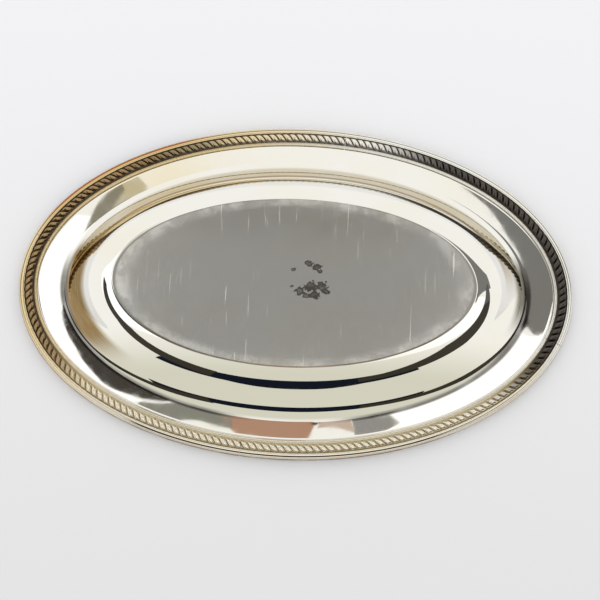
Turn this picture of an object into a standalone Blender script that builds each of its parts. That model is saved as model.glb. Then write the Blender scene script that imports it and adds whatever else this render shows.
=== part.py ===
"""Oval silver-plated salver with an applied gadroon border, lying with its raised face upwards.

Every physical piece is a separate closed solid in its own object. Units are metres and +Z is up.
The long axis is X. The origin is at table level, in the middle of the oval. "Inset" always means
the distance from the outer edge towards the middle, measured square to the oval.
"""
import math

import bmesh
import bpy
import numpy as np

# ---- Overall size --------------------------------------------------------------------------------
LENGTH = 0.3560                    # along X, outer edge to outer edge
WIDTH = 0.2190                     # along Y
GAP = 0.0003                       # clearance between neighbouring pieces

# ---- Sheet body ----------------------------------------------------------------------------------
SHEET = 0.0011                     # thickness of the metal
BODY_SEGMENTS = 80                 # facets round the oval
FLANGE_Z = 0.0060                  # top of the flat flange above the table
SEAT_Z = 0.0054                    # top of the sunk seat that carries the border
SEAT_INSET = 0.0126                # inner end of that seat
FOOT_HALF_LENGTH = 0.1492          # ellipse where the flange starts to sweep up into the wall
FOOT_HALF_WIDTH = 0.0856
CENTRE_HALF_LENGTH = 0.1126        # ellipse of the flat centre
CENTRE_HALF_WIDTH = 0.0541
RISE = 0.0196                      # height of the flat centre above the flange
SKIRT_INSET = 0.0010               # outer face of the turned-down edge
CURL_INSET = 0.0058                # how far the edge is turned back underneath

# Section of the wall, as pairs: at the long sides, at the ends of the oval.
FOOT_RUN = (0.0093, 0.0036)        # width of the concave sweep at the foot
FOOT_POWER = (1.0, 1.3)            # how late it turns: 1 is an arc of a circle
FOOT_SLOPE = (math.radians(50.0), math.radians(43.0))    # slope at the bottom of the wall
TOP_SLOPE = (math.radians(43.5), math.radians(48.0))     # slope at its top
SHOULDER_RUN = (0.0120, 0.0165)    # width of the convex sweep up to the flat centre
SHOULDER_POWER = (1.0, 1.55)       # how late it turns, counted from the flat centre
FOOT_STEPS = 4
WALL_STEPS = 2
SHOULDER_STEPS = 6

# ---- Edge wire inside the turned-over edge -------------------------------------------------------
WIRE_RADIUS = 0.00125
WIRE_SIDES = 6

# ---- Gadroon border, four struck lengths ---------------------------------------------------------
LENGTHS = 4
LOBES_PER_LENGTH = 49
FIRST_JOINT = 0.7155               # position of the first joint, as a fraction of the way round
LIP_FOOT_Z = SEAT_Z - 0.0030       # lower edge of the lip that laps over the body's edge
ROPE_OUTER = 0.0045                # inset of the outer edge of the lobes
ROPE_INNER = 0.0105                # inset of their inner edge
ROPE_MIDDLE = 0.5 * (ROPE_OUTER + ROPE_INNER)
ROPE_SLANT = 0.80                  # sideways run of a lobe per unit of inset
CREST_Z = SEAT_Z + 0.0029          # top of a lobe
GROOVE_Z = SEAT_Z + 0.0015         # bottom of the groove between two lobes
BORDER_FOOT_Z = SEAT_Z + GAP
BORDER_HOLLOW_Z = SEAT_Z + 0.0010  # ceiling of the hollow in the back of a struck length

# ---- Soft solder bed that fills each length ------------------------------------------------------
BED_OUTER = 0.0023
BED_INNER = 0.0108
BED_STATIONS = 24
BED_END_CLEARANCE = 0.0012

SILVER = (0.83, 0.81, 0.76)
WARM_SILVER = (0.78, 0.72, 0.60)
WIRE_GREY = (0.55, 0.55, 0.53)
SOLDER_GREY = (0.42, 0.43, 0.44)


# ---- The oval ------------------------------------------------------------------------------------
def oval_point(angle, inset):
    """Point of the oval at a parameter angle, moved inwards square to the outline."""
    half_length = 0.5 * LENGTH
    half_width = 0.5 * WIDTH
    normal_x = math.cos(angle) / half_length
    normal_y = math.sin(angle) / half_width
    size = math.hypot(normal_x, normal_y)
    x = half_length * math.cos(angle) - inset * normal_x / size
    y = half_width * math.sin(angle) - inset * normal_y / size
    return x, y


def arc_table(inset, samples=7200):
    """Parameter angles and the distance run along the oval at one inset."""
    angles = np.linspace(0.0, 2.0 * math.pi, samples + 1)
    points = np.array([oval_point(angle, inset) for angle in angles])
    steps = np.hypot(*np.diff(points, axis=0).T)
    return angles, np.concatenate([[0.0], np.cumsum(steps)])


RUN_ANGLES, RUN_DISTANCE = arc_table(ROPE_MIDDLE)
RUN_TOTAL = float(RUN_DISTANCE[-1])


def angle_at(distance):
    """Parameter angle after a given run along the middle of the border, counter-clockwise."""
    turns = math.floor(distance / RUN_TOTAL)
    rest = distance - turns * RUN_TOTAL
    return turns * 2.0 * math.pi + float(np.interp(rest, RUN_DISTANCE, RUN_ANGLES))


# ---- Building blocks -----------------------------------------------------------------------------
def make_material(name, colour, roughness):
    material = bpy.data.materials.new(name)
    material.use_nodes = True
    shader = material.node_tree.nodes["Principled BSDF"]
    shader.inputs["Base Color"].default_value = (*colour, 1.0)
    shader.inputs["Metallic"].default_value = 1.0
    shader.inputs["Roughness"].default_value = roughness
    material.diffuse_color = (*colour, 1.0)
    return material


def add_solid(name, vertices, faces, material, sharp_angle=38.0):
    """Build one object with its faces pointing outwards and its round surfaces shaded smooth."""
    mesh = bpy.data.meshes.new(name)
    mesh.from_pydata(vertices, [], faces)
    work = bmesh.new()
    work.from_mesh(mesh)
    bmesh.ops.triangulate(work, faces=work.faces[:])
    bmesh.ops.recalc_face_normals(work, faces=work.faces[:])
    work.to_mesh(mesh)
    work.free()
    mesh.polygons.foreach_set("use_smooth", [True] * len(mesh.polygons))
    mesh.set_sharp_from_angle(angle=math.radians(sharp_angle))
    mesh.materials.append(material)
    obj = bpy.data.objects.new(name, mesh)
    bpy.context.collection.objects.link(obj)
    return obj


def bridge_ring(first, second, count):
    """Quads between two closed rings of vertices that start at the given indices."""
    faces = []
    for k in range(count):
        after = (k + 1) % count
        faces.append((first + k, first + after, second + after, second + k))
    return faces


def bridge_open(first, first_count, second, second_count):
    """Faces between two open rows. One row may have several times the steps of the other."""
    if first_count < second_count:
        return [tuple(reversed(f)) for f in bridge_open(second, second_count, first, first_count)]
    ratio = (first_count - 1) // (second_count - 1)
    faces = []
    for k in range(second_count - 1):
        fine = first + k * ratio
        coarse = second + k
        half = (ratio + 1) // 2
        for step in range(ratio):
            corner = coarse if step < half else coarse + 1
            faces.append((fine + step, fine + step + 1, corner))
        faces.append((fine + half, coarse + 1, coarse))
    return faces


# ---- Sheet body ----------------------------------------------------------------------------------
def wall_plan(angle, share):
    """Plan position on the wall, from the ellipse of the foot (0) to that of the flat centre (1)."""
    x = (FOOT_HALF_LENGTH + (CENTRE_HALF_LENGTH - FOOT_HALF_LENGTH) * share) * math.cos(angle)
    y = (FOOT_HALF_WIDTH + (CENTRE_HALF_WIDTH - FOOT_HALF_WIDTH) * share) * math.sin(angle)
    return x, y


def between(pair, end):
    return pair[0] + (pair[1] - pair[0]) * end


def turn_points(slope, run, power, steps):
    """Curve that leaves the level and turns up to a slope: the slope, run and rise of each step.

    The sine of the slope grows with a power of the run, so a power of 1 is an arc of a circle and
    a higher power turns late.
    """
    slices = 48
    points = []
    for k in range(steps + 1):
        angle = slope * k / steps
        share = (math.sin(angle) / math.sin(slope)) ** (1.0 / power)
        rise = 0.0
        for m in range(slices):
            part = share * (m + 0.5) / slices
            rise += share / slices * math.tan(math.asin(math.sin(slope) * part**power))
        points.append((angle, run * share, run * rise))
    return points


def wall_section(end, depth):
    """Section of the surface a given depth below the top skin, from the foot to the flat centre.

    End is 0 at the long sides of the oval and 1 at its ends. Returns the share of the way inwards
    and the height of each point.
    """
    low = between(FOOT_SLOPE, end)
    high = between(TOP_SLOPE, end)
    foot = turn_points(low, between(FOOT_RUN, end), between(FOOT_POWER, end), FOOT_STEPS)
    shoulder = turn_points(
        high, between(SHOULDER_RUN, end), between(SHOULDER_POWER, end), SHOULDER_STEPS
    )
    chords = [low + (high - low) * (k + 0.5) / WALL_STEPS for k in range(WALL_STEPS)]
    wall_rise = RISE - foot[-1][2] - shoulder[-1][2]
    stride = wall_rise / sum(math.sin(chord) for chord in chords)
    wall_run = stride * sum(math.cos(chord) for chord in chords)
    total = foot[-1][1] + wall_run + shoulder[-1][1]
    points = list(foot)
    for k in range(WALL_STEPS - 1):
        slope = low + (high - low) * (k + 1) / WALL_STEPS
        run = points[-1][1] + stride * math.cos(chords[k])
        rise = points[-1][2] + stride * math.sin(chords[k])
        points.append((slope, run, rise))
    for slope, run, rise in reversed(shoulder):
        points.append((slope, total - run, RISE - rise))
    return [
        ((run + depth * math.sin(slope)) / total, FLANGE_Z + rise - depth * math.cos(slope))
        for slope, run, rise in points
    ]


def edge_section():
    """From the inner end of the seat over the edge, round the curl and back under the seat."""
    inner_skirt = SKIRT_INSET + SHEET
    under = SEAT_Z - SHEET
    return [
        (SEAT_INSET, FLANGE_Z),
        (SEAT_INSET - 0.0001, SEAT_Z),
        (SKIRT_INSET + 0.0008, SEAT_Z),
        (SKIRT_INSET + 0.00015, SEAT_Z - 0.0004),
        (SKIRT_INSET, SEAT_Z - 0.0010),
        (SKIRT_INSET, 0.0010),
        (SKIRT_INSET + 0.0003, 0.0003),
        (SKIRT_INSET + 0.0011, 0.0),
        (CURL_INSET - 0.0004, 0.0),
        (CURL_INSET, 0.5 * SHEET),
        (CURL_INSET - 0.0004, 0.0010),
        (inner_skirt + 0.0005, 0.0010),
        (inner_skirt, 0.0015),
        (inner_skirt, 0.0037),
        (inner_skirt + 0.0005, under),
        (SEAT_INSET - 0.0003, under),
        (SEAT_INSET + 0.0006, FLANGE_Z - SHEET),
    ]


def body_column(angle):
    """All points of the closed section at one angle: over the top, round the edge, underneath."""
    end = math.cos(angle) ** 2
    top = [(*wall_plan(angle, share), z) for share, z in reversed(wall_section(end, 0.0))]
    edge = [(*oval_point(angle, inset), z) for inset, z in edge_section()]
    under = [(*wall_plan(angle, share), z) for share, z in wall_section(end, SHEET)]
    return top + edge + under


def make_body(material):
    columns = [body_column(angle_at(RUN_TOTAL * k / BODY_SEGMENTS)) for k in range(BODY_SEGMENTS)]
    rows = len(columns[0])
    vertices = [column[row] for row in range(rows) for column in columns]
    faces = []
    for row in range(rows - 1):
        faces += bridge_ring(row * BODY_SEGMENTS, (row + 1) * BODY_SEGMENTS, BODY_SEGMENTS)
    for row, z in ((0, FLANGE_Z + RISE), (rows - 1, FLANGE_Z + RISE - SHEET)):
        vertices.append((0.0, 0.0, z))
        centre = len(vertices) - 1
        start = row * BODY_SEGMENTS
        for k in range(BODY_SEGMENTS):
            faces.append((start + k, start + (k + 1) % BODY_SEGMENTS, centre))
    return add_solid("body", vertices, faces, material)


# ---- Edge wire -----------------------------------------------------------------------------------
def make_wire(material):
    centre_inset = SKIRT_INSET + SHEET + GAP + WIRE_RADIUS
    centre_z = 0.5 * (0.0010 + SEAT_Z - SHEET)
    vertices = []
    for side in range(WIRE_SIDES):
        turn = 2.0 * math.pi * side / WIRE_SIDES
        inset = centre_inset + WIRE_RADIUS * math.cos(turn)
        z = centre_z + WIRE_RADIUS * math.sin(turn)
        for k in range(BODY_SEGMENTS):
            x, y = oval_point(angle_at(RUN_TOTAL * k / BODY_SEGMENTS), inset)
            vertices.append((x, y, z))
    faces = []
    for side in range(WIRE_SIDES):
        after = (side + 1) % WIRE_SIDES
        faces += bridge_ring(side * BODY_SEGMENTS, after * BODY_SEGMENTS, BODY_SEGMENTS)
    return add_solid("edge_wire", vertices, faces, material, 75.0)


# ---- Lengths of border and their solder beds -----------------------------------------------------
def border_rows():
    """Section of a struck length as inset, height at a groove, height at a crest.

    The two rows that carry the lobes have different heights, twice the steps and a slant.
    """
    return [
        (0.0007, LIP_FOOT_Z, LIP_FOOT_Z),
        (0.0001, LIP_FOOT_Z, LIP_FOOT_Z),
        (0.0000, SEAT_Z - 0.0015, SEAT_Z - 0.0015),
        (0.0005, SEAT_Z, SEAT_Z),
        (0.0011, SEAT_Z + 0.0015, SEAT_Z + 0.0015),
        (0.0031, SEAT_Z + 0.0020, SEAT_Z + 0.0020),
        (ROPE_OUTER, SEAT_Z + 0.0014, SEAT_Z + 0.0014),
        (ROPE_OUTER + 0.0014, GROOVE_Z, CREST_Z),
        (ROPE_INNER - 0.0015, GROOVE_Z, CREST_Z),
        (ROPE_INNER, SEAT_Z + 0.0014, SEAT_Z + 0.0014),
        (0.0114, SEAT_Z + 0.0014, SEAT_Z + 0.0014),
        (0.0119, SEAT_Z + 0.0010, SEAT_Z + 0.0010),
        (0.0122, BORDER_FOOT_Z, BORDER_FOOT_Z),
        (0.0114, BORDER_FOOT_Z, BORDER_FOOT_Z),
        (0.0112, BORDER_HOLLOW_Z, BORDER_HOLLOW_Z),
        (0.0019, BORDER_HOLLOW_Z, BORDER_HOLLOW_Z),
        (0.0015, BORDER_FOOT_Z, BORDER_FOOT_Z),
        (0.0007, BORDER_FOOT_Z, BORDER_FOOT_Z),
    ]


def sweep_length(name, rows, start, length, stations, material):
    """Sweep a closed section along part of the oval and cap both ends."""
    vertices = []
    starts = []
    counts = []
    for inset, low, high in rows:
        lobed = high > low
        steps = 2 * stations if lobed else stations
        starts.append(len(vertices))
        counts.append(steps + 1)
        for i in range(steps + 1):
            ease = min(1.0, 0.5 * i, 0.5 * (steps - i))
            shift = ROPE_SLANT * (ROPE_MIDDLE - inset) * ease if lobed else 0.0
            x, y = oval_point(angle_at(start + length * i / steps + shift), inset)
            vertices.append((x, y, high if i % 2 else low))
    faces = []
    for row in range(len(rows)):
        after = (row + 1) % len(rows)
        faces += bridge_open(starts[row], counts[row], starts[after], counts[after])
    faces.append(list(starts))
    faces.append([starts[row] + counts[row] - 1 for row in reversed(range(len(rows)))])
    return add_solid(name, vertices, faces, material)


def make_border(index, material):
    full = RUN_TOTAL / LENGTHS
    start = RUN_TOTAL * FIRST_JOINT + full * index + 0.5 * GAP
    name = "border_length_%d" % (index + 1)
    return sweep_length(name, border_rows(), start, full - GAP, LOBES_PER_LENGTH, material)


def make_bed(index, material):
    full = RUN_TOTAL / LENGTHS
    start = RUN_TOTAL * FIRST_JOINT + full * index + BED_END_CLEARANCE
    low = BORDER_FOOT_Z
    high = BORDER_HOLLOW_Z - GAP
    rows = [
        (BED_OUTER, low, low),
        (BED_OUTER, high, high),
        (BED_INNER, high, high),
        (BED_INNER, low, low),
    ]
    name = "solder_bed_%d" % (index + 1)
    return sweep_length(name, rows, start, full - 2.0 * BED_END_CLEARANCE, BED_STATIONS, material)


def build():
    for obj in list(bpy.data.objects):
        bpy.data.objects.remove(obj, do_unlink=True)
    make_body(make_material("plated_sheet", SILVER, 0.10))
    make_wire(make_material("edge_wire", WIRE_GREY, 0.35))
    border = make_material("struck_border", WARM_SILVER, 0.16)
    solder = make_material("soft_solder", SOLDER_GREY, 0.50)
    for index in range(LENGTHS):
        make_border(index, border)
        make_bed(index, solder)


build()
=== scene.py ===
"""Finished look of the oval gadroon-bordered salver, lying with its raised face upwards.

The dense meshes follow the same plan and section as the plain solids. Metres, +Z up, long axis X.
"Inset" is the distance from the outer edge towards the middle, square to the oval.
"""
import math

import bpy
import numpy as np
from mathutils import Matrix, Vector


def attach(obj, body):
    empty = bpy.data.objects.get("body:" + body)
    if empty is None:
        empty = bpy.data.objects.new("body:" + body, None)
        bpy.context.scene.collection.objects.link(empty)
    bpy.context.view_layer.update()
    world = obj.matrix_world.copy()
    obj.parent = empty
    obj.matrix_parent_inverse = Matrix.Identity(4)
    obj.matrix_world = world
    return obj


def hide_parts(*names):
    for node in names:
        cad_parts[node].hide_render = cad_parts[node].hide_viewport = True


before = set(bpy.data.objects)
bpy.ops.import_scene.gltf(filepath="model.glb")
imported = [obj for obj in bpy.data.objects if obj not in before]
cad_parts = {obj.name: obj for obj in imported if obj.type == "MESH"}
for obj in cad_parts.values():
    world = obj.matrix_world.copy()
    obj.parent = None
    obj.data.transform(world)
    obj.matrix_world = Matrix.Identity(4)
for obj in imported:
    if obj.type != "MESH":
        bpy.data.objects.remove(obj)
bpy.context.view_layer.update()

# ---- Sizes, the same as in the plain solids ------------------------------------------------------
LENGTH = 0.3560
WIDTH = 0.2190
SHEET = 0.0011
FLANGE_Z = 0.0060
SEAT_Z = 0.0054
SEAT_INSET = 0.0126
FOOT_HALF_LENGTH = 0.1492
FOOT_HALF_WIDTH = 0.0856
CENTRE_HALF_LENGTH = 0.1126
CENTRE_HALF_WIDTH = 0.0541
RISE = 0.0196
# The wall's section, in pairs: at the long sides and at the ends of the oval.
FOOT_RUN = (0.0093, 0.0036)
FOOT_POWER = (1.0, 1.3)
FOOT_SLOPE = (math.radians(50.0), math.radians(43.0))
TOP_SLOPE = (math.radians(43.5), math.radians(48.0))
SHOULDER_RUN = (0.0120, 0.0165)
SHOULDER_POWER = (1.0, 1.55)
# The outer face of the turned-down edge, and how far in it is curled.
SKIRT_INSET = 0.0010
CURL_INSET = 0.0058
# The border's lengths, the middle of the first joint as a share of the whole run, and the rope.
LENGTHS = 4
LOBES_PER_LENGTH = 49
FIRST_JOINT = 0.7155
ROPE_OUTER = 0.0045
ROPE_INNER = 0.0105
ROPE_MIDDLE = 0.5 * (ROPE_OUTER + ROPE_INNER)
ROPE_SLANT = 0.80
JOINT_GAP = 0.0003
# Insets and height of the rope's bed, and the rise of a lobe above it.
LOBE_OUTER = 0.0044
LOBE_INNER = 0.0107
LOBE_BASE = 0.0013
LOBE_RISE = 0.0016
LOBE_WEAR = 0.05

# ---- Fineness of the finished meshes --------------------------------------------------------------
BODY_COLUMNS = 768
CENTRE_ROWS = 26
FLANGE_ROWS = 14
UNDER_FLANGE_ROWS = 6
UNDER_CENTRE_ROWS = 10
# Steps at the foot, on the wall and at the shoulder.
TOP_STEPS = (30, 16, 40)
UNDER_STEPS = (16, 8, 22)
COLUMNS_PER_LOBE = 14
ROWS_ACROSS_ROPE = 40


# ---- The oval ------------------------------------------------------------------------------------
def oval(angle, inset):
    """Points of the oval, moved inwards square to the outline. Works on whole arrays."""
    normal_x = np.cos(angle) / (0.5 * LENGTH)
    normal_y = np.sin(angle) / (0.5 * WIDTH)
    size = np.hypot(normal_x, normal_y)
    x = 0.5 * LENGTH * np.cos(angle) - inset * normal_x / size
    y = 0.5 * WIDTH * np.sin(angle) - inset * normal_y / size
    return x, y


# The run along the middle of the border, added up in short strides.
RUN_ANGLES = np.linspace(0.0, 2.0 * math.pi, 14401)
run_x, run_y = oval(RUN_ANGLES, ROPE_MIDDLE)
RUN_STRIDES = np.hypot(np.diff(run_x), np.diff(run_y))
RUN_DISTANCE = np.concatenate([[0.0], np.cumsum(RUN_STRIDES)])
RUN_TOTAL = float(RUN_DISTANCE[-1])


def angle_at(distance):
    """Parameter angle after a given run along the middle of the border, counter-clockwise."""
    turns = np.floor(distance / RUN_TOTAL)
    rest = distance - turns * RUN_TOTAL
    return turns * 2.0 * math.pi + np.interp(rest, RUN_DISTANCE, RUN_ANGLES)


def ramp(value, low, high):
    """Smooth step from 0 to 1 between two values."""
    share = np.clip((value - low) / (high - low), 0.0, 1.0)
    return share * share * (3.0 - 2.0 * share)


# ---- Mesh building -------------------------------------------------------------------------------
# Every vertex stores its place: the run round the oval, 0 to 1, and a mark. On the border and on the
# body's edge the mark is the inset in decimetres. On the body it goes on inwards with 0.2 to 1 on the
# flange, 1 to 2 on the wall and 2 to 3 on the flat centre, and it is 5 underneath.
DECIMETRES = 10.0
FLANGE_MARK = 0.2
FOOT_MARK = 1.0
MIDDLE_MARK = 3.0
UNDER_MARK = 5.0


def add_object(name, data):
    obj = bpy.data.objects.new(name, data)
    bpy.context.scene.collection.objects.link(obj)
    return obj


def grid_faces(rows, columns, closed_rows, closed_columns):
    """Quads of a grid of rows by columns whose vertices are numbered row by row."""
    row_count = rows if closed_rows else rows - 1
    column_count = columns if closed_columns else columns - 1
    row, column = np.meshgrid(np.arange(row_count), np.arange(column_count), indexing="ij")
    next_row = (row + 1) % rows
    next_column = (column + 1) % columns
    quads = np.stack(
        [
            row * columns + column,
            row * columns + next_column,
            next_row * columns + next_column,
            next_row * columns + column,
        ],
        axis=-1,
    )
    return quads.reshape(-1, 4)


def make_mesh(name, vertices, quads, extra_faces=(), sharp_angle=50.0):
    mesh = bpy.data.meshes.new(name)
    faces = [tuple(int(i) for i in quad) for quad in quads] + [tuple(f) for f in extra_faces]
    mesh.from_pydata([tuple(v) for v in vertices], [], faces)
    mesh.update()
    mesh.polygons.foreach_set("use_smooth", [True] * len(mesh.polygons))
    mesh.set_sharp_from_angle(angle=math.radians(sharp_angle))
    return add_object(name, mesh)


def add_places(obj, values):
    """Store the place of every vertex as a UV map, for the materials to read."""
    layer = obj.data.uv_layers.new(name="place")
    corner_vertex = np.zeros(len(obj.data.loops), dtype=np.int32)
    obj.data.loops.foreach_get("vertex_index", corner_vertex)
    layer.data.foreach_set("uv", values[corner_vertex].astype(np.float32).ravel())


# ---- Body ----------------------------------------------------------------------------------------
def flange_plan(angle, share):
    """Plan position on the flange, from the end of the seat (0) to the oval of the foot (1)."""
    seat_x, seat_y = oval(angle, SEAT_INSET)
    x = seat_x + (FOOT_HALF_LENGTH * np.cos(angle) - seat_x) * share
    y = seat_y + (FOOT_HALF_WIDTH * np.sin(angle) - seat_y) * share
    return x, y


def wall_plan(angle, share):
    """Plan position on the wall, from the oval of the foot (0) to that of the flat centre (1)."""
    x = (FOOT_HALF_LENGTH + (CENTRE_HALF_LENGTH - FOOT_HALF_LENGTH) * share) * np.cos(angle)
    y = (FOOT_HALF_WIDTH + (CENTRE_HALF_WIDTH - FOOT_HALF_WIDTH) * share) * np.sin(angle)
    return x, y


def between(pair, end):
    """Value between that of the long sides (end 0) and that of the ends of the oval (end 1)."""
    return pair[0] + (pair[1] - pair[0]) * end


# Slices in which the rise of a curve is added up.
TURN_SLICES = 48


def turn_points(slope, run, power, steps):
    """Curve that leaves the level and turns up to a slope: the slope, run and rise of each step.

    The sine of the slope grows with a power of the run, so a power of 1 is an arc of a circle and
    a higher power turns late.
    """
    points = []
    for k in range(steps + 1):
        angle = slope * k / steps
        share = (np.sin(angle) / np.sin(slope)) ** (1.0 / power)
        rise = 0.0
        for m in range(TURN_SLICES):
            part = share * (m + 0.5) / TURN_SLICES
            rise = rise + share / TURN_SLICES * np.tan(np.arcsin(np.sin(slope) * part**power))
        points.append((angle, run * share, run * rise))
    return points


def wall_section(end, depth, foot_steps, wall_steps, shoulder_steps):
    """Section of the surface a given depth below the top skin, from foot to flat centre.

    End is 0 at the long sides of the oval and 1 at its ends. Returns the share of the way inwards
    and the height of each point.
    """
    low = between(FOOT_SLOPE, end)
    high = between(TOP_SLOPE, end)
    foot = turn_points(low, between(FOOT_RUN, end), between(FOOT_POWER, end), foot_steps)
    shoulder_run = between(SHOULDER_RUN, end)
    shoulder = turn_points(high, shoulder_run, between(SHOULDER_POWER, end), shoulder_steps)
    chords = [low + (high - low) * (k + 0.5) / wall_steps for k in range(wall_steps)]
    wall_rise = RISE - foot[-1][2] - shoulder[-1][2]
    stride = wall_rise / sum(np.sin(chord) for chord in chords)
    wall_run = stride * sum(np.cos(chord) for chord in chords)
    whole_run = foot[-1][1] + wall_run + shoulder[-1][1]
    points = list(foot)
    for k in range(wall_steps - 1):
        slope = low + (high - low) * (k + 1) / wall_steps
        run = points[-1][1] + stride * np.cos(chords[k])
        rise = points[-1][2] + stride * np.sin(chords[k])
        points.append((slope, run, rise))
    for slope, run, rise in reversed(shoulder):
        points.append((slope, whole_run - run, RISE - rise))
    return [
        ((run + depth * np.sin(slope)) / whole_run, FLANGE_Z + rise - depth * np.cos(slope))
        for slope, run, rise in points
    ]


def edge_section():
    """From the inner end of the seat over the edge, round the curl and back under the seat."""
    inner_skirt = SKIRT_INSET + SHEET
    under = SEAT_Z - SHEET
    return [
        (SEAT_INSET, FLANGE_Z - 0.00006),
        (SEAT_INSET - 0.0001, FLANGE_Z - 0.0003),
        (SEAT_INSET - 0.0001, SEAT_Z),
        (0.0070, SEAT_Z),
        (SKIRT_INSET + 0.0009, SEAT_Z),
        (SKIRT_INSET + 0.0004, SEAT_Z - 0.0001),
        (SKIRT_INSET + 0.0001, SEAT_Z - 0.0004),
        (SKIRT_INSET, SEAT_Z - 0.0009),
        (SKIRT_INSET, 0.0034),
        (SKIRT_INSET, 0.0012),
        (SKIRT_INSET + 0.0001, 0.0007),
        (SKIRT_INSET + 0.0003, 0.0003),
        (SKIRT_INSET + 0.0007, 0.0001),
        (SKIRT_INSET + 0.0012, 0.0),
        (0.5 * (SKIRT_INSET + CURL_INSET), 0.0),
        (CURL_INSET - 0.0006, 0.0),
        (CURL_INSET - 0.0003, 0.0001),
        (CURL_INSET - 0.0001, 0.0003),
        (CURL_INSET, 0.00055),
        (CURL_INSET - 0.0001, 0.0008),
        (CURL_INSET - 0.0004, 0.0010),
        (inner_skirt + 0.0020, 0.0010),
        (inner_skirt + 0.0005, 0.0010),
        (inner_skirt + 0.0001, 0.0012),
        (inner_skirt, 0.0016),
        (inner_skirt, 0.0036),
        (inner_skirt + 0.0001, 0.0040),
        (inner_skirt + 0.0005, under),
        (0.0070, under),
        (SEAT_INSET - 0.0003, under),
        (SEAT_INSET, under + 0.0001),
        (SEAT_INSET + 0.0003, FLANGE_Z - SHEET - 0.0001),
        (SEAT_INSET + 0.0006, FLANGE_Z - SHEET),
    ]


# Slight waviness of a pressed and much-handled sheet: height, turns along x and y, start.
WAVES = (
    (0.000045, 31.0, 17.0, 0.6),
    (0.000035, -47.0, 39.0, 2.1),
    (0.000020, 83.0, 71.0, 4.4),
    (0.000010, -140.0, 115.0, 1.3),
)


def unevenness(x, y):
    return sum(
        height * np.sin(along * x + across * y + start) for height, along, across, start in WAVES
    )


def make_body():
    angles = angle_at(RUN_TOTAL * np.arange(BODY_COLUMNS) / BODY_COLUMNS)
    end = np.cos(angles) ** 2
    run = np.arange(BODY_COLUMNS) / BODY_COLUMNS
    rows = []
    places = []

    def add_row(x, y, z, mark):
        rows.append(np.stack([x, y, z + np.zeros(BODY_COLUMNS)], axis=-1))
        places.append(np.stack([run, mark + np.zeros(BODY_COLUMNS)], axis=-1))

    def add_disc(shares, z, mark=None):
        x, y = wall_plan(angles, 1.0)
        for share in shares:
            add_row(x * share, y * share, z, MIDDLE_MARK - share if mark is None else mark)

    # Rows run from the middle of the flat centre outwards over the top, then back underneath.
    centre_z = FLANGE_Z + RISE
    add_disc([(k / CENTRE_ROWS) ** 0.8 for k in range(1, CENTRE_ROWS)], centre_z)
    for share, z in reversed(wall_section(end, 0.0, *TOP_STEPS)):
        x, y = wall_plan(angles, share)
        add_row(x, y, z, FOOT_MARK + share)
    for k in range(FLANGE_ROWS - 1, -1, -1):
        share = (k + 0.3) / FLANGE_ROWS
        x, y = flange_plan(angles, share)
        add_row(x, y, FLANGE_Z, FLANGE_MARK + (FOOT_MARK - FLANGE_MARK) * share)
    for inset, z in edge_section():
        x, y = oval(angles, inset)
        add_row(x, y, z, inset * DECIMETRES)
    for k in range(1, UNDER_FLANGE_ROWS):
        x, y = flange_plan(angles, k / UNDER_FLANGE_ROWS)
        add_row(x, y, FLANGE_Z - SHEET, UNDER_MARK)
    for share, z in wall_section(end, SHEET, *UNDER_STEPS):
        x, y = wall_plan(angles, share)
        add_row(x, y, z, UNDER_MARK)
    under_shares = [k / UNDER_CENTRE_ROWS for k in range(UNDER_CENTRE_ROWS - 1, 0, -1)]
    add_disc(under_shares, centre_z - SHEET, UNDER_MARK)
    vertices = np.concatenate(rows)
    places = np.concatenate(places)
    row_count = len(rows)
    quads = grid_faces(row_count, BODY_COLUMNS, False, True)
    top_centre = len(vertices)
    middles = [[0.0, 0.0, centre_z], [0.0, 0.0, centre_z - SHEET]]
    vertices = np.concatenate([vertices, middles])
    places = np.concatenate([places, [[0.0, MIDDLE_MARK], [0.0, UNDER_MARK]]])
    last = (row_count - 1) * BODY_COLUMNS
    fans = []
    for k in range(BODY_COLUMNS):
        after = (k + 1) % BODY_COLUMNS
        fans.append((top_centre, after, k))
        fans.append((top_centre + 1, last + k, last + after))
    x, y, z = vertices.T
    # The edge, with its seat and curl, stays true.
    free = ramp(z, FLANGE_Z - SHEET - 0.0002, FLANGE_Z - SHEET)
    vertices[:, 2] = z + unevenness(x, y) * free
    obj = make_mesh("salver_body", vertices, quads[:, ::-1], fans, 60.0)
    add_places(obj, places)
    return obj


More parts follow.
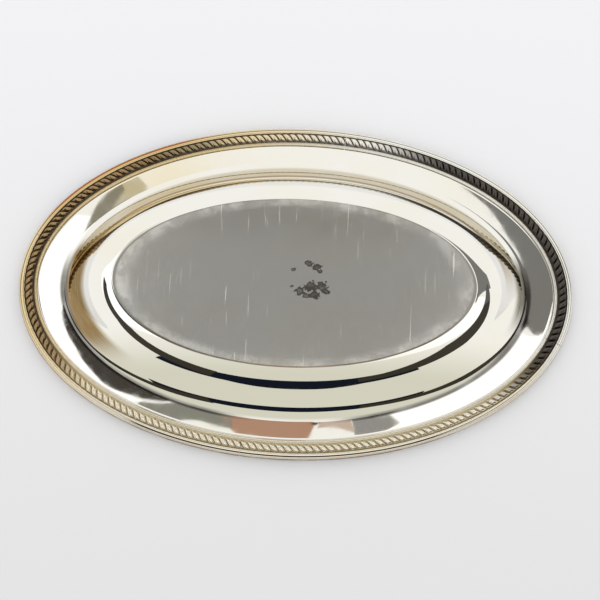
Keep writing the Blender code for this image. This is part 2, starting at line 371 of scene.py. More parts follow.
# ---- Border --------------------------------------------------------------------------------------
def border_profile():
    """Closed section of a struck length: inset, height above the seat, and 1 where it carries rope."""
    rows = [
        (0.0007, -0.0030, 0),
        (0.0003, -0.0030, 0),
        (0.0001, -0.0029, 0),
        (0.0000, -0.0026, 0),
        (0.0000, -0.0015, 0),
        (0.0001, -0.0010, 0),
        (0.0004, -0.0006, 0),
        (0.0005, -0.0001, 0),
        (0.0005, 0.0004, 0),
        (0.0006, 0.0009, 0),
        (0.0008, 0.0013, 0),
        (0.0011, 0.0015, 0),
        (0.0014, 0.0015, 0),
        (0.0016, 0.0013, 0),
        (0.0018, 0.0014, 0),
        (0.0022, 0.0018, 0),
        (0.0027, 0.0020, 0),
        (0.0034, 0.0020, 0),
        (0.0038, 0.0018, 0),
        (0.0041, 0.0014, 0),
        (0.0043, 0.0012, 0),
    ]
    for k in range(ROWS_ACROSS_ROPE + 1):
        share = k / ROWS_ACROSS_ROPE
        rows.append((LOBE_OUTER + (LOBE_INNER - LOBE_OUTER) * share, 0.0, 1))
    rows += [
        (0.0108, 0.0011, 0),
        (0.0110, 0.0013, 0),
        (0.0113, 0.0014, 0),
        (0.0116, 0.0013, 0),
        (0.0119, 0.0011, 0),
        (0.0121, 0.0007, 0),
        (0.0122, 0.0003, 0),
        (0.0114, 0.0003, 0),
        (0.0112, 0.0010, 0),
        (0.0060, 0.0010, 0),
        (0.0019, 0.0010, 0),
        (0.0015, 0.0003, 0),
        (0.0007, 0.0003, 0),
        (0.0007, -0.0012, 0),
    ]
    return np.array(rows)


def lobe_shift(across):
    """Sideways lean of a lobe, as a run along the border: slanted, with both ends curling over."""
    half = 0.5 * (ROPE_INNER - ROPE_OUTER)
    return -ROPE_SLANT * half * (0.9 * across + 0.25 * across**3)


def lobe_height(phase, across):
    """Height of the rope above its bed. Phase runs -1 to 1 over one lobe, across -1 to 1 inwards.
    The grooves are deep at the outer end and die away towards the inner end."""
    leaning = phase + 0.22 * (1.0 - phase * phase)
    crown = np.clip(1.0 - np.abs(leaning) ** 2.4, 0.0, 1.0) ** 0.62
    depth = 1.0 - 0.80 * ramp(across, 0.35, 0.95)
    crown = 1.0 - depth * (1.0 - crown)
    outer = np.clip(1.0 - np.clip(-across, 0.0, 1.0) ** 3.2, 0.0, 1.0) ** 0.6
    inner = 1.0 - ramp(across, -0.1, 1.0)
    return crown * outer * inner


def make_border(index):
    full = RUN_TOTAL / LENGTHS
    start = RUN_TOTAL * FIRST_JOINT + full * index + 0.5 * JOINT_GAP
    length = full - JOINT_GAP
    columns = LOBES_PER_LENGTH * COLUMNS_PER_LOBE + 1
    run = start + length * np.arange(columns) / (columns - 1)
    pitch = length / LOBES_PER_LENGTH
    angles = angle_at(run)
    profile = border_profile()
    rng = np.random.default_rng(40 + index)
    wear = 1.0 + LOBE_WEAR * rng.standard_normal(LOBES_PER_LENGTH + 2)
    rows = []
    places = []
    for inset, z, rope in profile:
        x, y = oval(angles, inset)
        height = np.full(columns, SEAT_Z + z)
        if rope:
            across = 2.0 * (inset - LOBE_OUTER) / (LOBE_INNER - LOBE_OUTER) - 1.0
            turned = (run - start - lobe_shift(across)) / pitch
            phase = 2.0 * (turned - np.floor(turned)) - 1.0
            lobe = np.clip(np.floor(turned).astype(int) + 1, 0, LOBES_PER_LENGTH + 1)
            rise = LOBE_RISE * lobe_height(phase, across) * wear[lobe]
            height = SEAT_Z + LOBE_BASE + rise
        rows.append(np.stack([x, y, height], axis=-1))
        mark = np.full(columns, inset * DECIMETRES)
        places.append(np.stack([run / RUN_TOTAL, mark], axis=-1))
    vertices = np.concatenate(rows)
    quads = grid_faces(len(rows), columns, True, False)
    first = [row * columns for row in range(len(rows))]
    last = [row * columns + columns - 1 for row in reversed(range(len(rows)))]
    name = "gadroon_length_%d" % (index + 1)
    obj = make_mesh(name, vertices, quads[:, ::-1], [first, last], 70.0)
    add_places(obj, np.concatenate(places))
    return obj


# ---- Material helpers ----------------------------------------------------------------------------
def add(tree, kind, inputs=None, **settings):
    """Add a node, set its properties and fill its inputs with values or links."""
    item = tree.nodes.new(kind)
    for key, value in settings.items():
        setattr(item, key, value)
    for key, value in (inputs or {}).items():
        if isinstance(value, bpy.types.NodeSocket):
            tree.links.new(value, item.inputs[key])
        else:
            item.inputs[key].default_value = value
    return item


def maths(tree, operation, first, second=0.0):
    return add(tree, "ShaderNodeMath", {0: first, 1: second}, operation=operation).outputs[0]


def total(tree, *values):
    """Add any number of values."""
    result = values[0]
    for value in values[1:]:
        result = maths(tree, "ADD", result, value)
    return result


def product(tree, *factors):
    """Multiply any number of values."""
    result = factors[0]
    for factor in factors[1:]:
        result = maths(tree, "MULTIPLY", result, factor)
    return result


def step(tree, value, low, high, to_low=0.0, to_high=1.0):
    """Smooth step of a value between two limits."""
    item = add(tree, "ShaderNodeMapRange", interpolation_type="SMOOTHSTEP")
    tree.links.new(value, item.inputs["Value"])
    item.inputs["From Min"].default_value = low
    item.inputs["From Max"].default_value = high
    item.inputs["To Min"].default_value = to_low
    item.inputs["To Max"].default_value = to_high
    return item.outputs[0]


def mix(tree, factor, first, second, blend="MIX"):
    """Mix two colours. Each may be a link or an (r, g, b)."""
    item = add(tree, "ShaderNodeMix", data_type="RGBA", blend_type=blend)
    values = ((item.inputs[0], factor), (item.inputs[6], first), (item.inputs[7], second))
    for socket, value in values:
        if isinstance(value, bpy.types.NodeSocket):
            tree.links.new(value, socket)
        elif isinstance(value, tuple):
            socket.default_value = (*value, 1.0)
        else:
            socket.default_value = value
    return item.outputs[2]


def noise(tree, vector, scale, detail=4.0, roughness=0.5, distortion=0.0):
    inputs = {
        "Vector": vector,
        "Scale": scale,
        "Detail": detail,
        "Roughness": roughness,
        "Distortion": distortion,
    }
    return add(tree, "ShaderNodeTexNoise", inputs).outputs["Fac"]


def mapped(tree, vector, scale=(1.0, 1.0, 1.0), turn=0.0, shift=(0.0, 0.0, 0.0)):
    inputs = {
        "Vector": vector,
        "Scale": scale,
        "Rotation": (0.0, 0.0, turn),
        "Location": shift,
    }
    return add(tree, "ShaderNodeMapping", inputs).outputs[0]


def new_material(name):
    material = bpy.data.materials.new(name)
    material.use_nodes = True
    tree = material.node_tree
    return material, tree, tree.nodes["Principled BSDF"]


def place_of(tree):
    """The stored place: the pair of run and mark, and the mark by itself."""
    pair = add(tree, "ShaderNodeUVMap", uv_map="place").outputs[0]
    return pair, add(tree, "ShaderNodeSeparateXYZ", {0: pair}).outputs[1]


def bare_metal(tree, shader, colour, roughness, relief, strength, distance):
    """Fill a shader as metal of one colour and roughness with a fine relief."""
    inputs = {"Strength": strength, "Distance": distance, "Height": relief}
    bump = add(tree, "ShaderNodeBump", inputs)
    tree.links.new(colour, shader.inputs["Base Color"])
    tree.links.new(roughness, shader.inputs["Roughness"])
    tree.links.new(bump.outputs[0], shader.inputs["Normal"])
    shader.inputs["Metallic"].default_value = 1.0


def scratches(tree, coordinates, turn, stretch, scale, low, high, shift):
    """Thin scratches along one direction: strongly stretched noise, cut to its peaks."""
    along = mapped(tree, coordinates, (1.0, 1.0 / stretch, 1.0), turn, shift)
    return step(tree, noise(tree, along, scale, 2.0, 0.6), low, high)


# ---- Materials -----------------------------------------------------------------------------------
SILVER = (0.905, 0.892, 0.845)
WARM_SILVER = (0.900, 0.872, 0.790)
NEAR_WALL = (0.655, 0.645, 0.530)
STRAW_BROWN = (0.420, 0.325, 0.150)
GOLD_TARNISH = (0.780, 0.600, 0.300)
# Brown for real tarnish, and also for painted reflections and painted shade.
BROWN_TARNISH_AND_PAINTED_LIGHT = (0.230, 0.125, 0.045)
DARK_TARNISH = (0.040, 0.032, 0.024)
GREY_TARNISH = (0.170, 0.160, 0.130)
BLACK_BROWN = (0.026, 0.017, 0.012)
GOLD_BROWN = (0.27, 0.165, 0.050)
BROWN_GOLD = (0.40, 0.30, 0.10)
PALE_GOLD = (0.86, 0.74, 0.47)
DARK_OLIVE = (0.085, 0.070, 0.035)
# Dark of the painted reflection along the foot.
FOOT_DARK_REFLECTION = (0.070, 0.064, 0.056)
OXIDE_BLUE = (0.08, 0.11, 0.23)
OXIDE_ORANGE = (0.52, 0.19, 0.05)
WIRE_GREY = (0.52, 0.51, 0.49)
WIRE_BROWN = (0.30, 0.22, 0.16)
SOLDER_LIGHT = (0.46, 0.47, 0.48)
SOLDER_DARK = (0.28, 0.28, 0.29)
# Roughness of the wall and flange, what the flat centre has on top, and what each flaw adds.
WALL_ROUGHNESS = 0.018
CENTRE_WEAR = 0.075
HAZE = 0.018
SCRATCHED = 0.16
STAINED = 0.22
RING_WEAR = 0.10
BORDER_ROUGHNESS = 0.09
GROOVE_DIRT = 0.25
BORDER_GRAIN = 0.06


def between_steps(tree, value, start, full, fade, stop):
    """1 between two limits, with a smooth rise and fall."""
    return product(tree, step(tree, value, start, full), step(tree, value, fade, stop, 1.0, 0.0))


# Tarnish blots on the flat centre: middle x and y, half sizes, in metres.
BLOTS = (
    (0.0095, 0.0120, 0.0032, 0.0019),
    (0.0140, 0.0098, 0.0034, 0.0021),
    (0.0162, 0.0072, 0.0017, 0.0013),
    (0.0038, -0.0058, 0.0036, 0.0030),
    (0.0112, -0.0028, 0.0044, 0.0034),
    (0.0175, -0.0024, 0.0034, 0.0031),
    (0.0135, -0.0082, 0.0042, 0.0026),
    (0.0205, -0.0060, 0.0030, 0.0016),
    (0.0082, -0.0092, 0.0026, 0.0016),
    (-0.0006, 0.0079, 0.0014, 0.0010),
    (-0.0012, -0.0030, 0.0010, 0.0008),
)


def blot_depth(tree, x, y, ragged):
    """How far inside the tarnish blots a point is: 0 outside, rising to 1 in their middles."""
    deepest = None
    for middle_x, middle_y, half_x, half_y in BLOTS:
        across = maths(tree, "DIVIDE", maths(tree, "SUBTRACT", x, middle_x), half_x)
        along = maths(tree, "DIVIDE", maths(tree, "SUBTRACT", y, middle_y), half_y)
        squares = total(tree, product(tree, across, across), product(tree, along, along))
        depth = maths(tree, "SUBTRACT", 1.0, maths(tree, "SQRT", squares))
        deepest = depth if deepest is None else maths(tree, "MAXIMUM", deepest, depth)
    return maths(tree, "ADD", deepest, ragged)


def silver_body():
    material, tree, shader = new_material("silver_plate")
    coordinates = add(tree, "ShaderNodeTexCoord").outputs["Object"]
    position = add(tree, "ShaderNodeSeparateXYZ", {0: coordinates})
    x, y = position.outputs[0], position.outputs[1]
    place, inward = place_of(tree)
    flat = between_steps(tree, inward, 1.97, 2.02, 3.5, 3.6)
    clouds = noise(tree, mapped(tree, coordinates, (1.0, 1.6, 1.0), 0.3), 22.0, 5.0, 0.55)
    fine_clouds = noise(tree, coordinates, 140.0, 4.0, 0.6)
    streaks = noise(tree, mapped(tree, place, (14.0, 60.0, 1.0)), 3.0, 3.0, 0.6)
    colour = mix(tree, step(tree, clouds, 0.40, 0.70), SILVER, WARM_SILVER)

    # Straw-coloured band low on the wall, strongest at the two ends and along the far side.
    # It is partly tarnish and partly a painted reflection of the tarnished border.
    from_middle = maths(tree, "ABSOLUTE", x)
    slanting = maths(tree, "SUBTRACT", y, product(tree, x, 0.3))
    ends = product(
        tree,
        step(tree, from_middle, 0.085, 0.135),
        step(tree, slanting, -0.050, -0.015),
    )
    far = step(tree, y, 0.0, 0.05)
    wall_band_tarnish_and_reflection = product(
        tree,
        maths(tree, "MAXIMUM", product(tree, ends, 0.80), product(tree, far, 0.60)),
        between_steps(tree, inward, 1.09, 1.17, 1.38, 1.44),
        step(tree, streaks, 0.25, 0.65, 0.45, 1.0),
    )
    colour = mix(tree, wall_band_tarnish_and_reflection, colour, STRAW_BROWN)
    # A brown line a third of the way up the far wall: a painted reflection of the border's rope.
    far_wall_painted_reflection = product(tree, between_steps(tree, inward, 1.33, 1.36, 1.385, 1.41), far, 0.65)
    colour = mix(tree, far_wall_painted_reflection, colour, BROWN_TARNISH_AND_PAINTED_LIGHT)

    # Golden-brown low on the left end of the wall, black low on its right end.
    # Both are painted reflections of the border's rope, with some tarnish of the wall's own.
    spread = step(tree, streaks, 0.2, 0.6, 0.55, 1.0)
    gold_end = product(
        tree,
        step(tree, x, -0.092, -0.112),
        between_steps(tree, y, -0.058, -0.035, 0.018, 0.034),
        between_steps(tree, inward, 1.03, 1.08, 1.32, 1.40),
        spread,
        0.97,
    )
    colour = mix(tree, gold_end, colour, GOLD_BROWN)
    dark_end = product(
        tree,
        step(tree, x, 0.110, 0.125),
        between_steps(tree, y, -0.030, -0.005, 0.012, 0.030),
        between_steps(tree, inward, 1.02, 1.05, 1.14, 1.26),
        spread,
        0.90,
    )
    colour = mix(tree, dark_end, colour, DARK_OLIVE)

    # A soft painted dark reflection along the foot, and painted shade dulling the near wall.
    foot_line = product(
        tree,
        between_steps(tree, inward, 0.86, 0.96, 1.05, 1.09),
        step(tree, from_middle, 0.020, 0.055),
        step(tree, y, 0.030, 0.000),
        step(tree, clouds, 0.3, 0.6, 0.75, 1.0),
        0.88,
    )
    colour = mix(tree, foot_line, colour, FOOT_DARK_REFLECTION)
    near_wall = product(
        tree,
        step(tree, y, -0.030, -0.060),
        between_steps(tree, inward, 1.00, 1.08, 1.96, 2.0),
    )
    colour = mix(tree, near_wall, colour, NEAR_WALL)
    # Warmer metal on the far flange.
    warm_flange = product(
        tree,
        between_steps(tree, x, -0.128, -0.112, -0.070, -0.020),
        step(tree, y, 0.050, 0.062),
        between_steps(tree, inward, 0.10, 0.2, 0.98, 1.0),
        step(tree, clouds, 0.3, 0.7, 0.4, 1.0),
        0.55,
    )
    colour = mix(tree, warm_flange, colour, PALE_GOLD)

    # Blots of black tarnish on the flat centre, darkest round their edges.
    crumbs = maths(tree, "SUBTRACT", noise(tree, coordinates, 420.0, 4.0, 0.65), 0.49)
    depth = blot_depth(tree, x, y, product(tree, crumbs, 2.6))
    stain = product(tree, step(tree, depth, 0.02, 0.12), flat)
    inside = product(tree, step(tree, depth, 0.30, 0.75), step(tree, fine_clouds, 0.42, 0.62))
    stain_colour = mix(tree, inside, DARK_TARNISH, GREY_TARNISH)
    colour = mix(tree, product(tree, stain, 0.93), colour, stain_colour)

    # The worn ring round the flat centre and a thin painted dark reflection along its near edge.
    patchy = step(tree, noise(tree, coordinates, 55.0, 4.0, 0.7), 0.38, 0.62)
    ring = product(
        tree,
        between_steps(tree, inward, 1.985, 2.01, 2.03, 2.12),
        step(tree, patchy, 0.0, 1.0, 0.35, 1.0),
    )
    edge_line = product(
        tree,
        between_steps(tree, inward, 1.965, 1.985, 1.992, 2.008),
        step(tree, y, -0.015, -0.040),
        0.70,
    )
    colour = mix(tree, edge_line, colour, BROWN_TARNISH_AND_PAINTED_LIGHT)

    # Scratches, mostly across the salver, in patches.
    patches = []
    for shift, scale, low in (((0.2, 0.4, 0.0), 24.0, 0.40), ((0.9, 0.1, 0.0), 20.0, 0.46)):
        patch = noise(tree, mapped(tree, coordinates, shift=shift), scale, 2.0, 0.5)
        patches.append(step(tree, patch, low, low + 0.12))
    here, there = patches
    upright = scratches(tree, coordinates, 0.10, 30.0, 700.0, 0.63, 0.74, (0.0, 0.0, 0.0))
    slanted = scratches(tree, coordinates, 0.36, 26.0, 820.0, 0.63, 0.74, (0.3, 0.1, 0.0))
    lying = scratches(tree, coordinates, 1.35, 26.0, 640.0, 0.67, 0.77, (0.7, 0.2, 0.0))
    marks = maths(tree, "MAXIMUM", product(tree, upright, here), product(tree, slanted, there))
    marks = maths(tree, "MAXIMUM", marks, product(tree, lying, here, there))
    marks = product(tree, marks, flat)
    roughness = total(
        tree,
        product(tree, flat, CENTRE_WEAR),
        WALL_ROUGHNESS,
        product(tree, step(tree, fine_clouds, 0.35, 0.75), HAZE),
        product(tree, marks, SCRATCHED),
        product(tree, stain, STAINED),
        product(tree, ring, RING_WEAR),
    )
    relief = maths(tree, "SUBTRACT", product(tree, fine_clouds, 0.03), product(tree, marks, 0.8))
    bare_metal(tree, shader, colour, roughness, relief, 0.12, 0.00002)
    return material


def border_metal():
    material, tree, shader = new_material("struck_border_metal")
    coordinates = add(tree, "ShaderNodeTexCoord").outputs["Object"]
    position = add(tree, "ShaderNodeSeparateXYZ", {0: coordinates})
    x, y, z = position.outputs[0], position.outputs[1], position.outputs[2]
    inset = place_of(tree)[1]
    clouds = noise(tree, coordinates, 60.0, 4.0, 0.6)
    grain = noise(tree, coordinates, 420.0, 3.0, 0.6)
    low = step(tree, z, SEAT_Z + 0.0016, SEAT_Z + 0.0027, 1.0, 0.0)
    rope = between_steps(tree, inset, 0.040, 0.045, 0.100, 0.107)
    near_side = step(tree, y, -0.03, -0.07)
    colour = mix(tree, step(tree, clouds, 0.35, 0.70), SILVER, WARM_SILVER)

    # Gold-coloured tarnish over the far left half and brown at the left end.
    golden = step(tree, maths(tree, "SUBTRACT", product(tree, y, 0.9), x), 0.02, 0.15)
    colour = mix(tree, product(tree, golden, 0.85), colour, GOLD_TARNISH)
    colour = mix(tree, product(tree, near_side, 0.30), colour, GOLD_TARNISH)
    # Black-brown on the rope at the right and far left: tarnish with painted dark reflection.
    black_tarnish_and_reflection = step(tree, maths(tree, "ADD", product(tree, y, 0.45), x), 0.085, 0.135)
    colour = mix(tree, product(tree, black_tarnish_and_reflection, rope, 0.93), colour, BLACK_BROWN)
    far_left_tarnish_and_reflection = product(
        tree,
        between_steps(tree, x, -0.120, -0.095, -0.070, -0.035),
        step(tree, y, 0.03, 0.06),
        rope,
        0.60,
    )
    colour = mix(tree, far_left_tarnish_and_reflection, colour, BLACK_BROWN)
    leftwards = maths(tree, "SUBTRACT", product(tree, y, 0.35), x)
    left_end = between_steps(tree, leftwards, 0.10, 0.14, 1.0, 2.0)
    colour = mix(tree, product(tree, left_end, rope, 0.78), colour, BROWN_TARNISH_AND_PAINTED_LIGHT)

    # Dirt in the grooves, brown-gold on the near side and black elsewhere.
    groove_colour = mix(tree, product(tree, near_side, 0.85), DARK_TARNISH, BROWN_GOLD)
    groove = product(tree, low, rope, step(tree, grain, 0.25, 0.6, 0.8, 1.0))
    filled = product(tree, groove, step(tree, y, -0.03, -0.07, 0.95, 0.72))
    colour = mix(tree, filled, colour, groove_colour)
    # Dark lines along the lip's small groove and the rope's outer edge, darker towards the far side.
    dark_border_lines = maths(
        tree,
        "MAXIMUM",
        between_steps(tree, inset, 0.0138, 0.0155, 0.0165, 0.0185),
        between_steps(tree, inset, 0.0395, 0.0425, 0.0440, 0.0470),
    )
    dark_border_lines = product(tree, dark_border_lines, step(tree, y, -0.05, 0.02, 0.25, 0.80))
    colour = mix(tree, dark_border_lines, colour, DARK_TARNISH)

    # Oxide colours on the far left stretch of the lip: blue outside, orange, then gold.
    oxide = product(
        tree,
        step(tree, inset, 0.034, 0.040, 1.0, 0.0),
        between_steps(tree, x, -0.172, -0.150, -0.085, -0.050),
        step(tree, y, 0.02, 0.04),
        0.92,
    )
    oxide_colour = mix(tree, step(tree, inset, 0.006, 0.012), OXIDE_BLUE, OXIDE_ORANGE)
    oxide_colour = mix(tree, step(tree, inset, 0.018, 0.030), oxide_colour, GOLD_TARNISH)
    colour = mix(tree, oxide, colour, oxide_colour)
    # Painted shade along the lip's outer edge, strongest on the near side.
    nearwards = maths(tree, "ADD", y, product(tree, x, 0.3))
    dark_edge = product(
        tree,
        step(tree, inset, 0.002, 0.007, 1.0, 0.0),
        step(tree, clouds, 0.3, 0.6, 0.45, 0.9),
        step(tree, nearwards, -0.075, -0.035, 1.0, 0.45),
    )
    colour = mix(tree, dark_edge, colour, BROWN_TARNISH_AND_PAINTED_LIGHT)
    roughness = total(
        tree,
        BORDER_ROUGHNESS,
        product(tree, groove, GROOVE_DIRT),
        product(tree, grain, BORDER_GRAIN),
    )
    bare_metal(tree, shader, colour, roughness, grain, 0.25, 0.00005)
    return material


def mottled_metal(name, mottling, turning, colours, roughness, strength, distance):
    """Plain dull metal. Mottling is the scale, detail and roughness of its noise, turning the noise
    levels between which the first colour gives way to the second, roughness its least and most."""
    material, tree, shader = new_material(name)
    coordinates = add(tree, "ShaderNodeTexCoord").outputs["Object"]
    mottle = noise(tree, coordinates, *mottling)
    colour = mix(tree, step(tree, mottle, *turning), *colours)
    dullness = step(tree, mottle, 0.3, 0.8, *roughness)
    bare_metal(tree, shader, colour, dullness, mottle, strength, distance)
    return material


# ---- Pieces --------------------------------------------------------------------------------------
body = make_body()
body.data.materials.append(silver_body())
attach(body, "root")
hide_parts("body")

border_material = border_metal()
for number in range(LENGTHS):
    piece = make_border(number)
    piece.data.materials.append(border_material)
    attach(piece, "root")
    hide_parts("border_length_%d" % (number + 1))

wire_material = mottled_metal(
    "drawn_wire",
    (300.0, 4.0, 0.6),
    (0.45, 0.7),
    (WIRE_GREY, WIRE_BROWN),
    (0.28, 0.55),
    0.3,
    0.00005,
)
solder_material = mottled_metal(
    "soft_solder_metal",
    (180.0, 5.0, 0.65),
    (0.4, 0.7),
    (SOLDER_LIGHT, SOLDER_DARK),
    (0.40, 0.65),
    0.4,
    0.0001,
)
for name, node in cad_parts.items():
    for start, material in (("edge_wire", wire_material), ("solder_bed", solder_material)):
        if name.startswith(start):
            node.data.materials.clear()
            node.data.materials.append(material)

# ---- Camera --------------------------------------------------------------------------------------
CAMERA_ELEVATION = math.radians(76.0)
CAMERA_DISTANCE = 0.8875
CAMERA_ROLL = math.radians(1.71)
SENSOR_WIDTH = 36.0
FOCAL_LENGTH = 83.05
SHIFT_X = 0.0091
SHIFT_Y = -0.0180
# The eye: to the right of the salver's middle, above the flange, and towards the near side.
EYE_SIDE = 0.025
EYE_HEIGHT = CAMERA_DISTANCE * math.sin(CAMERA_ELEVATION)
EYE_BACK = CAMERA_DISTANCE * math.cos(CAMERA_ELEVATION)

camera_data = bpy.data.cameras.new("camera")
camera = add_object("camera", camera_data)
camera.location = (EYE_SIDE, -EYE_BACK, FLANGE_Z + EYE_HEIGHT)
forward = (Vector((0.0, 0.0, FLANGE_Z)) - camera.location).normalized()
right = (Vector((1.0, 0.0, 0.0)) - forward * forward.x).normalized()
facing = Matrix((right, right.cross(forward), -forward)).transposed()
camera.rotation_euler = (facing @ Matrix.Rotation(CAMERA_ROLL, 3, "Z")).to_euler()
camera_data.sensor_width = SENSOR_WIDTH
camera_data.lens = FOCAL_LENGTH
camera_data.shift_x = SHIFT_X
camera_data.shift_y = SHIFT_Y
bpy.context.scene.camera = camera

# ---- Studio --------------------------------------------------------------------------------------
FLOOR_HALF = 4.0
# The floor darkens towards the near side: painted shade.
FLOOR_NEAR = (0.790, 0.795, 0.820)
FLOOR_FAR = (0.905, 0.912, 0.950)

floor_mesh = bpy.data.meshes.new("floor")
corners = [(-1, -1), (1, -1), (1, 1), (-1, 1)]
floor_vertices = [(x * FLOOR_HALF, y * FLOOR_HALF, 0.0) for x, y in corners]
floor_mesh.from_pydata(floor_vertices, [], [(0, 1, 2, 3)])
floor = add_object("floor", floor_mesh)
floor_material, floor_tree, floor_shader = new_material("pale_floor")
floor_place = add(floor_tree, "ShaderNodeTexCoord").outputs["Object"]
floor_y = add(floor_tree, "ShaderNodeSeparateXYZ", {0: floor_place}).outputs[1]
floor_colour = mix(floor_tree, step(floor_tree, floor_y, -0.25, 0.22), FLOOR_NEAR, FLOOR_FAR)
floor_tree.links.new(floor_colour, floor_shader.inputs["Base Color"])
floor_shader.inputs["Roughness"].default_value = 0.9
floor_shader.inputs["Specular IOR Level"].default_value = 0.1
floor_mesh.materials.append(floor_material)

# What the metal mirrors of the room: flat cards overhead and upright round bands, seen only in
# reflections. Where cards overlap in the mirror, the lower one hides the higher one.
TOP = 1.42
HIGH = 1.40
MIDDLE = 1.39
LOW = 1.38
LOWEST = 1.37
WINDOW_GLOW = 1.25
FAR_SCREEN = 1.8
NEAR_SCREEN = 0.5

WHITE = (1.0, 1.0, 1.0)
ROOM_WHITE = (0.985, 0.980, 0.955)
GREY = (0.300, 0.300, 0.290)
GREY_FAR = (0.235, 0.232, 0.220)
GREY_DARK = (0.200, 0.197, 0.187)
GREY_LOW = (0.12, 0.115, 0.115)
BROWN_GREY = (0.27, 0.25, 0.20)
OLIVE_GREY = (0.25, 0.25, 0.215)
PALE_OLIVE = (0.60, 0.56, 0.43)
RED_BROWN = (0.30, 0.20, 0.145)
PINK_BROWN = (0.46, 0.27, 0.185)
PALE_PINK = (0.60, 0.47, 0.40)
DARK = (0.055, 0.048, 0.040)
NAVY = (0.010, 0.014, 0.030)


def mirrored(name, vertices, faces, colour, strength=1.0):
    """An evenly glowing surface that shows only in reflections."""
    mesh = bpy.data.meshes.new(name)
    mesh.from_pydata(vertices, [], faces)
    obj = add_object(name, mesh)
    material = bpy.data.materials.new(name)
    material.use_nodes = True
    tree = material.node_tree
    tree.nodes.clear()
    shader = add(tree, "ShaderNodeEmission", {"Color": (*colour, 1.0), "Strength": strength})
    output = add(tree, "ShaderNodeOutputMaterial")
    tree.links.new(shader.outputs[0], output.inputs[0])
    mesh.materials.append(material)
    obj.visible_camera = False
    obj.visible_diffuse = False
    obj.visible_shadow = False
    obj.visible_transmission = False
    obj.visible_volume_scatter = False


def card(name, outline, colour, strength=1.0, height=HIGH):
    """A flat card overhead. Its outline is given where it is seen in a level mirror at the flange,
    in millimetres, and is thrown up to the card's height above the flange, in metres."""
    lift = (height + EYE_HEIGHT) / EYE_HEIGHT
    vertices = []
    for x, y in outline:
        point_x = EYE_SIDE + (0.001 * x - EYE_SIDE) * lift
        point_y = -EYE_BACK + (0.001 * y + EYE_BACK) * lift
        vertices.append((point_x, point_y, FLANGE_Z + height))
    mirrored(name, vertices, [tuple(range(len(vertices)))], colour, strength)


def arch(half_length, half_width, low, high, steps=20):
    """Part of an oval as a card outline, from one height in the mirror to another."""
    outline = []
    for side in (1.0, -1.0):
        for k in range(steps + 1):
            share = k / steps if side > 0 else 1.0 - k / steps
            y = low + (high - low) * share
            x = side * half_length * math.sqrt(max(0.0, 1.0 - (y / half_width) ** 2))
            outline.append((x, y))
    return outline


def band(name, start, end, low, high, colour, radius=NEAR_SCREEN, steps=30):
    """Part of an upright round screen. It runs between two compass angles (0 along X,
    counter-clockwise). Its lower and upper elevations are given as pairs, for the start and for the
    end. All angles are in degrees."""
    vertices = []
    for first, last in (low, high):
        for k in range(steps + 1):
            share = k / steps
            turn = math.radians(start + (end - start) * share)
            rise = radius * math.tan(math.radians(first + (last - first) * share))
            vertices.append((radius * math.cos(turn), radius * math.sin(turn), rise))
    faces = [(k, k + 1, steps + 2 + k, steps + 1 + k) for k in range(steps)]
    mirrored(name, vertices, faces, colour)


# The ceiling fills the middle of the mirror, a little darker towards the far side.
CEILING = (134, 74)
card("ceiling", arch(*CEILING, -70, 73), GREY)
card("ceiling_far", arch(*CEILING, 34, 73), GREY_FAR, height=LOW)

# Bright windows at the left and at the near right, with paler and darker wedges beside them.
card(
    "window_left",
    [
        (-131, 47), (-136, 36), (-140, 25), (-146, 9), (-148, -5), (-146, -18), (-140, -35),
        (-130, -50), (-117, -63), (-91, -73), (-110, -88), (-200, -180), (-330, -200), (-385, -60),
        (-385, 40), (-300, 60), (-200, 50),
    ],
    WHITE,
    WINDOW_GLOW,
)
card(
    "window_left_low",
    [
        (-117, -20), (-112, 26), (-122, 30), (-131, 47), (-148, -5), (-130, -50), (-112, -62),
        (-95, -62),
    ],
    WHITE,
    WINDOW_GLOW,
    TOP,
)
card(
    "window_right",
    [
        (36, -97), (70, -84), (110, -66), (149, -25), (156, -26), (162, -24), (168, -16),
        (385, -40), (385, -220), (200, -220),
    ],
    WHITE,
    WINDOW_GLOW,
    MIDDLE,
)
card(
    "window_right_low",
    [(116, 0), (125, -10), (149, -25), (110, -66), (70, -84), (60, -75), (95, -55), (110, -30)],
    WHITE,
    WINDOW_GLOW,
    TOP,
)
card(
    "wedge_left_soft",
    [
        (-131, 47), (-128, 56), (-123, 64), (-108, 73), (-103, 68), (-112, 55), (-120, 44),
        (-129, 31), (-142, 8), (-150, 2), (-146, 9), (-140, 25), (-136, 36),
    ],
    PALE_OLIVE,
)
card(
    "wedge_left",
    [
        (-131, 47), (-128, 54), (-123.5, 61), (-117, 67), (-115, 63), (-120, 53), (-126, 41),
        (-134, 26), (-145, 4), (-151, 0), (-146, 9), (-140, 25), (-136, 36),
    ],
    BROWN_GREY,
    height=MIDDLE,
)

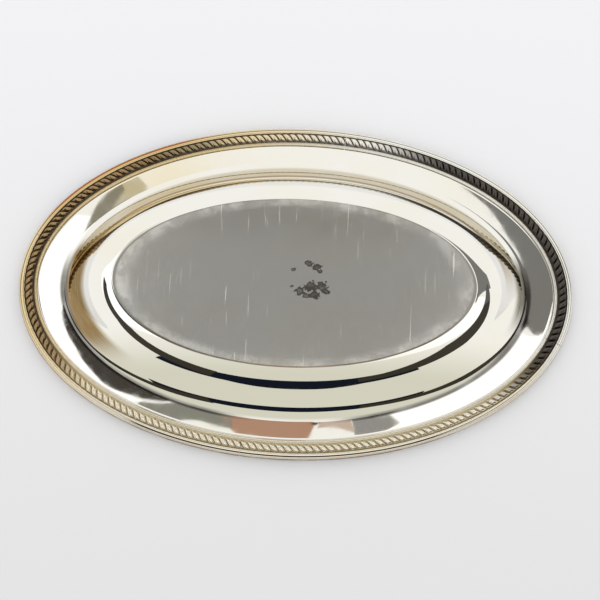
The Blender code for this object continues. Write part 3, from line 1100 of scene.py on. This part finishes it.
# The darker parts of the room, from the far right round the near side to the left.
card(
    "grey_right",
    [
        (103, 72), (119, 58), (129, 45), (138, 28), (142, 18), (148, -5), (149, -14), (151, -20),
        (154.5, -24), (158.5, -25.5), (162.5, -24.5), (165.5, -21), (167, -16), (300, 0), (500, 40),
        (400, 120), (160, 80),
    ],
    GREY_DARK,
)
card(
    "brown_right",
    [(142, 14), (146, 14), (149, 4), (150.5, -4), (147, -5), (145, 4)],
    RED_BROWN,
    height=LOW,
)
card("dark_right_low", [(145, -3), (150, -3), (151, -18), (145, -22)], DARK, height=LOWEST)
card(
    "dark_low_left",
    [
        (-148, 0), (-146, -18), (-140, -35), (-130, -50), (-117, -63), (-91, -72), (-60, -73),
        (-110, -40),
    ],
    DARK,
)
card("grey_low_left", [(-99, -74), (-60, -73), (-35, -84), (-35, -92), (-74, -86)], OLIVE_GREY)
card(
    "pink_low",
    [(-44, -80), (8, -80), (12, -86), (10, -97), (-30, -97), (-38, -91), (-42, -86)],
    PINK_BROWN,
)
card("spot_low", [(10, -82), (16, -82), (18, -86), (12, -89), (8, -86)], DARK, height=LOW)
card("pink_low_right", [(16, -84), (36, -83), (36, -90), (14, -91)], PALE_PINK)
card("grey_low", [(37, -78), (60, -76), (70, -84), (60, -90), (36, -92)], GREY)

# Dark things that stand round the salver. The wall and the shoulder mirror them as narrow bands.
band("navy", 234, 300, (12, 12), (40, 40), NAVY, FAR_SCREEN)
band("dark_left", 158, 200, (54, 48), (61, 61), DARK)
band("dark_low_left", 199, 248, (48, 16), (61, 40), DARK)
band("dark_low_right", 286, 327, (20, 22), (34, 56), DARK)
band("dark_right", 326, 366, (22, 42), (56, 56), DARK)
band("grey_right_low", 366, 384, (42, 50), (56, 56), GREY_LOW)

world = bpy.data.worlds.new("studio")
bpy.context.scene.world = world
world.use_nodes = True
world_tree = world.node_tree
world_tree.nodes.clear()
background = add(world_tree, "ShaderNodeBackground", {"Color": (*ROOM_WHITE, 1.0), "Strength": 1.0})
world_output = add(world_tree, "ShaderNodeOutputWorld")
world_tree.links.new(background.outputs[0], world_output.inputs[0])

bpy.context.scene.view_settings.view_transform = "Standard"
